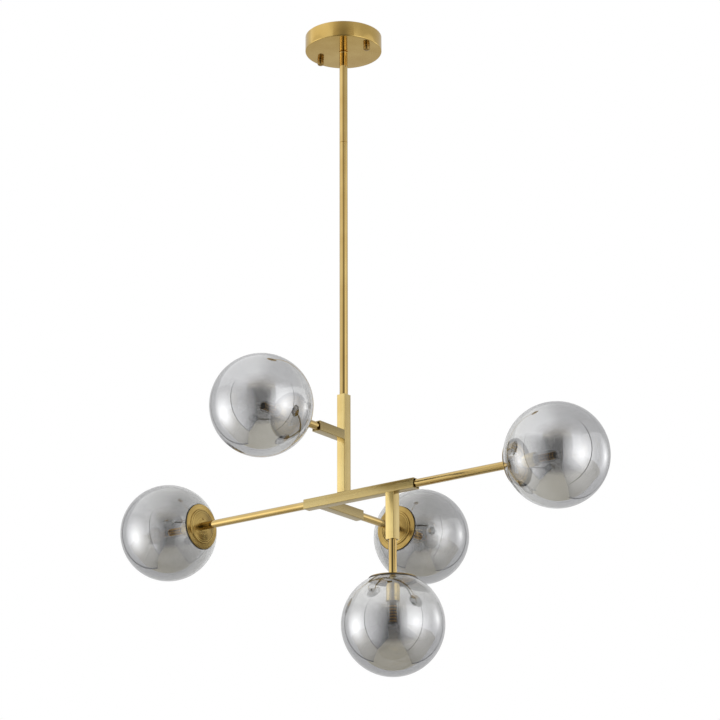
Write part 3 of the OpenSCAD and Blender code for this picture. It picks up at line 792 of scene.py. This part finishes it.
def clip_wire():
    """The pin and the wire's straight and arch, in one clip's own place."""
    pin = cylinder(WIRE, -4, 4)
    pin.transform(Matrix.Rotation(math.pi / 2, 4, "X"))
    stem = cylinder(WIRE, 0, STRAIGHT)
    stem.transform(Matrix.Rotation(math.pi / 2, 4, "Y"))
    sweep = bmesh.new()
    bmesh.ops.create_circle(sweep, cap_ends=False, segments=24, radius=WIRE / 2 * MM)
    sweep.transform(
        Matrix.Translation((STRAIGHT * MM, 0, 0)) @ Matrix.Rotation(math.pi / 2, 4, "Y")
    )
    bmesh.ops.spin(
        sweep, geom=sweep.verts[:] + sweep.edges[:], cent=(STRAIGHT * MM, 0, -ARCH * MM),
        axis=(0, 1, 0), dvec=(0, 0, 0), angle=math.radians(SWEEP), steps=36,
    )
    bmesh.ops.recalc_face_normals(sweep, faces=sweep.faces)
    whole = join([pin, stem, sweep])
    whole.transform(Matrix.Translation((PIVOT * MM, 0, RISE * MM)))
    return whole


def clip_bud():
    """The soft bud at the wire's end."""
    bm = turned(bud_outline, closed=False, steps=48)
    a = math.radians(SWEEP)
    tip = (
        (PIVOT + STRAIGHT + ARCH * math.sin(a)) * MM, 0,
        (RISE - ARCH * (1 - math.cos(a))) * MM,
    )
    bm.transform(Matrix.Translation(tip) @ Matrix.Rotation(math.pi / 2 + a, 4, "Y"))
    return bm


print("a clip's wire and bud are drawn")

# %% [markdown]
# ## Ten clips
#
# Each lamp end has two clips, half a turn apart. Wire and bud ride on the clip's own body,
# which folds inward when the globe is pulled off.

# %% Make the spring clips
for name, place in seats.items():
    for side, turn in (("a", 0), ("b", math.pi)):
        node = f"clip_{name}_{side}"
        at = place @ Matrix.Rotation(turn, 4, "Z")
        piece(f"{node}_wire", clip_wire(), at, wire, body=node, nodes=[node])
        piece(f"{node}_bud", clip_bud(), at, silicone, body=node)
print("clips made")

# %% [markdown]
# ## Wiring
#
# The leads run inside the tubes from the terminal block to the five lampholders. They are
# straight, so each is a cylinder, and the supply lead turns once under the crossbar.

# %% Make the leads
FEED, LEAD = 5, 3
TURN_Z, TURN_RADIUS = -11.5, 4


def supply_lead():
    """The supply lead: up the hanging rod, then round into the terminal block."""
    straight = cylinder(FEED, BEAM_Z, TURN_Z)
    bend = bmesh.new()
    bmesh.ops.create_circle(bend, cap_ends=False, segments=32, radius=FEED / 2 * MM)
    bend.transform(Matrix.Translation((0, 0, TURN_Z * MM)))
    bmesh.ops.spin(
        bend, geom=bend.verts[:] + bend.edges[:], cent=(-TURN_RADIUS * MM, 0, TURN_Z * MM),
        axis=(0, 1, 0), dvec=(0, 0, 0), angle=-math.pi / 2, steps=16,
    )
    bmesh.ops.recalc_face_normals(bend, faces=bend.faces)
    tail = cylinder(FEED, -6, -4)
    tail.transform(
        Matrix.Translation((0, 0, (TURN_Z + TURN_RADIUS) * MM))
        @ Matrix.Rotation(math.pi / 2, 4, "Y")
    )
    return join([straight, bend, tail])


# How far each lead runs out from its lampholder, to where it meets the supply.
runs = {"right": 373, "left": 343.5, "upper": 195.5, "lower": 259, "drop": 203}
leads = [supply_lead()]
for name, far in runs.items():
    lead = cylinder(LEAD, 59.5, far)
    lead.transform(seats[name])
    leads.append(lead)
piece("leads", join(leads), UPRIGHT, cable, nodes=["wiring"])
print("leads made")

# %% [markdown]
# ## The parts that keep their CAD shape
#
# Nuts, straps, nipples and plugs are right as they come, so they only take a finish.

# %% Give the CAD parts their finishes
keepers = {
    zinc: ["crossbar", "crossbar_studs", "stud_lock_nuts", "canopy_lock_nut",
           "clip_straps", "ring_nuts"],
    raw_brass: ["canopy_nipple", "downrod_coupler", "tube_end_plugs", "hollow_nipples"],
    ceramic: ["lamp_sockets"],
    rubber: ["seal_rings"],
    plastic: ["terminal_block"],
}
for finish, names in keepers.items():
    for name in names:
        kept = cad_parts[name].data.materials
        kept.clear()
        kept.append(finish)
print("CAD parts finished:", sum(len(n) for n in keepers.values()))

# %% [markdown]
# ## The studio
#
# The picture was taken on a white ground between two tall diffusers, with a dim room
# behind the camera. Mirror glass shows all of that, so the studio is built as glowing
# sheets that the camera doesn't see but the glass and brass do. The white ground itself is
# the world's light, a little weaker where it only lights a surface.

# %% Set the white ground
world = bpy.data.worlds.new("white_ground")
bpy.context.scene.world = world
bpy.context.scene.view_settings.view_transform = "Standard"
world.use_nodes = True
world.node_tree.nodes.clear()
ray = add(world, "LightPath").outputs
seen = math_of(world, "ADD", ray["Is Camera Ray"], ray["Is Glossy Ray"], use_clamp=True)
seen = math_of(world, "ADD", seen, ray["Is Transmission Ray"], use_clamp=True)
strength = between(world, seen, 0.75, 1.0, 0, 1)
ground = add(world, "Background", {"Color": (1, 1, 1, 1), "Strength": strength})
add(world, "OutputWorld", {"Surface": ground.outputs[0]})
print("white ground set")

# %% [markdown]
# ## Placing sheets
#
# A studio is easiest to lay out as the camera sees it: so far to the side, so far to the
# front. Two directions turn such a place into the lamp's own frame. Each sheet is a small
# grid, with coordinates from 0 to 1 along it and up it for the ramps of light.

# %% Place sheets by side and front
SIDE = Vector((0.797, 0.604, 0))
FRONT = Vector((0.604, -0.797, 0))


def upright_sheet(start, end, low, high):
    """A sheet that stands between two points given as (side, front), in metres."""
    bm = bmesh.new()
    bm.loops.layers.uv.verify()
    bmesh.ops.create_grid(bm, x_segments=2, y_segments=2, size=0.5, calc_uvs=True)
    a = SIDE * start[0] + FRONT * start[1]
    b = SIDE * end[0] + FRONT * end[1]
    run, rise, middle = b - a, Vector((0, 0, high - low)), (a + b) / 2
    middle.z = (low + high) / 2
    for v in bm.verts:
        v.co = middle + run * v.co.x + rise * v.co.y
    return bm


def lying_sheet(half, near, far, height):
    """A level sheet, half as wide to each side, that runs towards the front."""
    bm = upright_sheet((-half, 0), (half, 0), (near - far) / 2, (far - near) / 2)
    bm.transform(
        Matrix.Translation(FRONT * (near + far) / 2 + Vector((0, 0, height)))
        @ Matrix.Rotation(math.pi / 2, 4, SIDE)
    )
    return bm


def across_view(side, front, reach):
    """The ends of a sheet centred at a place, at right angles to the line from the lamp."""
    far = math.hypot(side, front)
    step = (-front / far * reach, side / far * reach)
    return (side - step[0], front - step[1]), (side + step[0], front + step[1])


print("a strip at the right:", across_view(1, 0, 0.5))

# %% [markdown]
# ## Lighting sheets
#
# A sheet gives off light and may be clear in places. A ramp, which is a list of places and
# greys, says how bright or how solid it is along one direction.

# %% Make sheets glow
NEUTRAL, WARM = (1, 1, 1, 1), (1, 0.94, 0.84, 1)


def ramp(mat, value, stops):
    """A grey that follows a list of (position, brightness)."""
    made = add(mat, "ValToRGB", {0: value})
    made.color_ramp.interpolation = "B_SPLINE"
    points = made.color_ramp.elements
    while len(points) < len(stops):
        points.new(0.5)
    for point, (position, grey) in zip(points, stops):
        point.position = position
        point.color = (grey, grey, grey, 1)
    return made.outputs[0]


def unlit(name):
    """An empty studio material and its sheet's coordinates."""
    mat = bpy.data.materials.new(name)
    mat.use_nodes = True
    mat.node_tree.nodes.clear()
    return mat, add(mat, "UVMap").outputs[0]


def glowing(mat, brightness, cover, colour=NEUTRAL):
    """Ends a studio material: light of some brightness that covers what is behind it."""
    light = add(mat, "Emission", {"Strength": brightness, "Color": colour}).outputs[0]
    clear = add(mat, "BsdfTransparent").outputs[0]
    show(mat, over(mat, cover, clear, light))
    return mat


print("ramp, unlit and glowing are ready")

# %% [markdown]
# ## Hanging sheets
#
# The glowing sheets are hidden from the camera and cast no shadow, and the dim ones don't
# light matt surfaces either.

# %% Hang a sheet in the studio
def studio_sheet(name, bm, finish):
    """An object of the studio, which isn't part of the lamp."""
    mesh = bpy.data.meshes.new(name)
    bm.to_mesh(mesh)
    bm.free()
    mesh.materials.append(finish)
    made = bpy.data.objects.new(name, mesh)
    bpy.context.scene.collection.objects.link(made)
    return made


def hang(name, sheet, finish, through=True):
    """A glowing sheet that the glass and brass see, but the camera doesn't."""
    made = studio_sheet(name, sheet, finish)
    made.visible_camera = False
    made.visible_transmission = through
    made.visible_diffuse = not name.startswith("dim")
    made.visible_shadow = False
    return made


print("studio_sheet and hang are ready")

# %% [markdown]
# ## The floor
#
# The photo's floor can't be told from the white ground, yet the globes mirror it as a pale
# beige. So its paint is white to the camera and beige to mirrors, and clear from below.

# %% Lay the floor
FLOOR_Z, FLOOR_RADIUS = -2.6, 9
WHITE_PAINT = (0.9, 0.9, 0.9, 1)
floor_bm = bmesh.new()
bmesh.ops.create_circle(floor_bm, cap_ends=True, segments=128, radius=FLOOR_RADIUS)
floor_bm.transform(Matrix.Translation((0, 0, FLOOR_Z)))
paint, shader = blank("floor_paint", Roughness=0.6)
where = add(paint, "TexCoord").outputs["Object"]
grain = add(paint, "TexNoise", {"Vector": where, "Scale": 10, "Detail": 4}).outputs[0]
beige = blend(paint, grain, (0.58, 0.54, 0.43, 1), (0.56, 0.52, 0.41, 1))
seen = add(paint, "LightPath").outputs["Is Camera Ray"]
plug(paint, blend(paint, seen, beige, WHITE_PAINT), shader, "Base Color")
under = add(paint, "NewGeometry").outputs["Backfacing"]
clear = add(paint, "BsdfTransparent").outputs[0]
show(paint, over(paint, under, shader.outputs[0], clear))
studio_sheet("floor", floor_bm, paint)
print("floor at", FLOOR_Z, "m")

# %% [markdown]
# ## Cloth walls
#
# White cloth stands at both sides and reaches a little above the ceiling plate. It is lit
# from behind, more towards its top, so one ramp runs along each wall and one up it.

# %% Hang the cloth walls
CLOTH_TOP = 0.06
LEVEL = [(0, 1), (1, 1)]
RISING = [(0, 0.3), (0.19, 0.5), (0.45, 1), (0.8, 1.05), (1, 1)]


def cloth(name, strength, across, upward=RISING, cover=1.0, colour=NEUTRAL):
    """White cloth, lit from behind, which fades out at its top."""
    mat, where = unlit(name)
    spot = add(mat, "SeparateXYZ", {0: where}).outputs
    both = math_of(mat, "MULTIPLY", ramp(mat, spot[0], across), ramp(mat, spot[1], upward))
    bright = math_of(mat, "MULTIPLY", both, strength)
    edge = ramp(mat, spot[1], [(0, cover), (0.78, cover), (0.94, 0.4 * cover), (1, 0)])
    return glowing(mat, bright, edge, colour)


walls = {
    "left_front": ((-0.40, 2.0), (-0.885, 0.52), 1.0,
                   [(0, 0.06), (0.2, 0.2), (0.55, 0.5), (0.8, 0.8), (1, 1)]),
    "left_side": ((-0.89, 0.50), (-0.89, -0.80), 0.5, [(0, 1), (0.5, 1), (1, 0.7)]),
    "right_front": ((0.53, 1.85), (0.825, 0.44), 0.5,
                    [(0, 0.6), (0.2, 0.85), (0.5, 1), (1, 1)]),
    "right_side": ((0.83, 0.40), (0.97, -0.94), 0.5, [(0, 1), (0.5, 0.6), (1, 0.7)]),
}
for name, (start, end, cover, across) in walls.items():
    sheet = upright_sheet(start, end, FLOOR_Z, CLOTH_TOP)
    hang(name, sheet, cloth(name, 1.0, across, cover=cover))
print("walls:", sorted(walls))

# %% [markdown]
# ## Lamps behind the cloth
#
# A lamp shows through cloth as a round, soft patch. Each is a square sheet that faces the
# chandelier, brightest in its middle and clear at its edge.

# %% Set the lamps behind the cloth
def soft_lamp(name, strength):
    """A round light that fades out to nothing at the sheet's edge."""
    mat, where = unlit(name)
    middle = add(mat, "Mapping", {"Vector": where, "Location": (-1, -1, 0), "Scale": (2, 2, 2)})
    ball = add(mat, "TexGradient", {0: middle.outputs[0]}, gradient_type="QUADRATIC_SPHERE")
    return glowing(mat, strength, ball.outputs["Fac"])


lamps = {
    "left_lamp": (-1.80, 0.03, -1.05, 1.4, 4.4),
    "right_lamp": (1.83, 1.53, -1.07, 2.2, 3.4),
    "back_lamp": (1.79, -0.64, -0.56, 0.8, 3.2),
}
for name, (side, front, height, reach, strength) in lamps.items():
    ends = across_view(side, front, reach)
    hang(name, upright_sheet(*ends, height - reach, height + reach), soft_lamp(name, strength))
print("lamps:", sorted(lamps))

# %% [markdown]
# ## Dark edges
#
# Thin dark lines run down the globes where the cloth walls meet and where they end. They
# are narrow grey strips, set a little nearer to the lamp than the cloth.

# %% Add the dark edges
NEARER = 0.99
edges = {
    "left_seam": (-0.889, 0.51, 0.025, 0.12),
    "right_seam": (0.828, 0.42, 0.025, 0.15),
    "left_gap": (-0.89, -0.83, 0.10, 0.25),
    "right_gap": (0.97, -0.98, 0.09, 0.25),
}
for name, (side, front, width, grey) in edges.items():
    ends = across_view(side * NEARER, front * NEARER, width / 2)
    hang(name, upright_sheet(*ends, FLOOR_Z, CLOTH_TOP), cloth(name, grey, LEVEL))
print("edges:", sorted(edges))

# %% [markdown]
# ## The room around
#
# Behind the camera lies a dim, warm room, which gives the globes their dark middles. A
# white wall closes the studio at the back, and a ceiling lights the tops of the tubes.

# %% Close the room
CEILING_Z = 1.6


def dim(name, strength, across, away):
    """A weak, warm glow, solid as far as two ramps say."""
    mat, where = unlit(name)
    spot = add(mat, "SeparateXYZ", {0: where}).outputs
    cover = math_of(mat, "MULTIPLY", ramp(mat, spot[0], across), ramp(mat, spot[1], away))
    return glowing(mat, strength, cover, WARM)


# The back wall is kept from rays through glass, so that clear parts show the white ground.
room_across = [(0, 1), (0.22, 0.9), (0.4, 0.45), (0.6, 0.45), (0.78, 0.9), (1, 1)]
room_upward = [(0, 0.06), (0.25, 0.035), (0.50, 0.07), (0.64, 0.28), (0.75, 0.45), (1, 0.55)]
hang("dim_room", upright_sheet((-2.5, 4.2), (2.5, 4.2), FLOOR_Z, 3.0),
     cloth("dim_room", 1.6, room_across, room_upward, colour=WARM))
hang("back_wall", upright_sheet((-3.2, -1.45), (3.2, -1.45), FLOOR_Z, CEILING_Z),
     cloth("back_wall", 0.68, LEVEL, [(0, 0.9), (0.3, 1), (1, 1)]), through=False)
hang("dim_floor", lying_sheet(2.8, 1.1, 4.2, FLOOR_Z + 0.01),
     dim("dim_floor", 0.08, LEVEL, [(0, 0), (0.08, 0.1), (0.25, 1), (1, 1)]))
hang("ceiling", lying_sheet(4, -4, 4, CEILING_Z),
     cloth("ceiling", 1.2, [(0, 1), (0.45, 1), (0.56, 0.55), (1, 0.55)], LEVEL))
hang("dim_ceiling", lying_sheet(2.5, 1.4, 4.2, CEILING_Z - 0.01),
     dim("dim_ceiling", 0.42, [(0, 0), (0.35, 0.9), (0.65, 0.9), (1, 0)],
         [(0, 0), (0.25, 0.3), (0.6, 0.75), (1, 0.95)]))
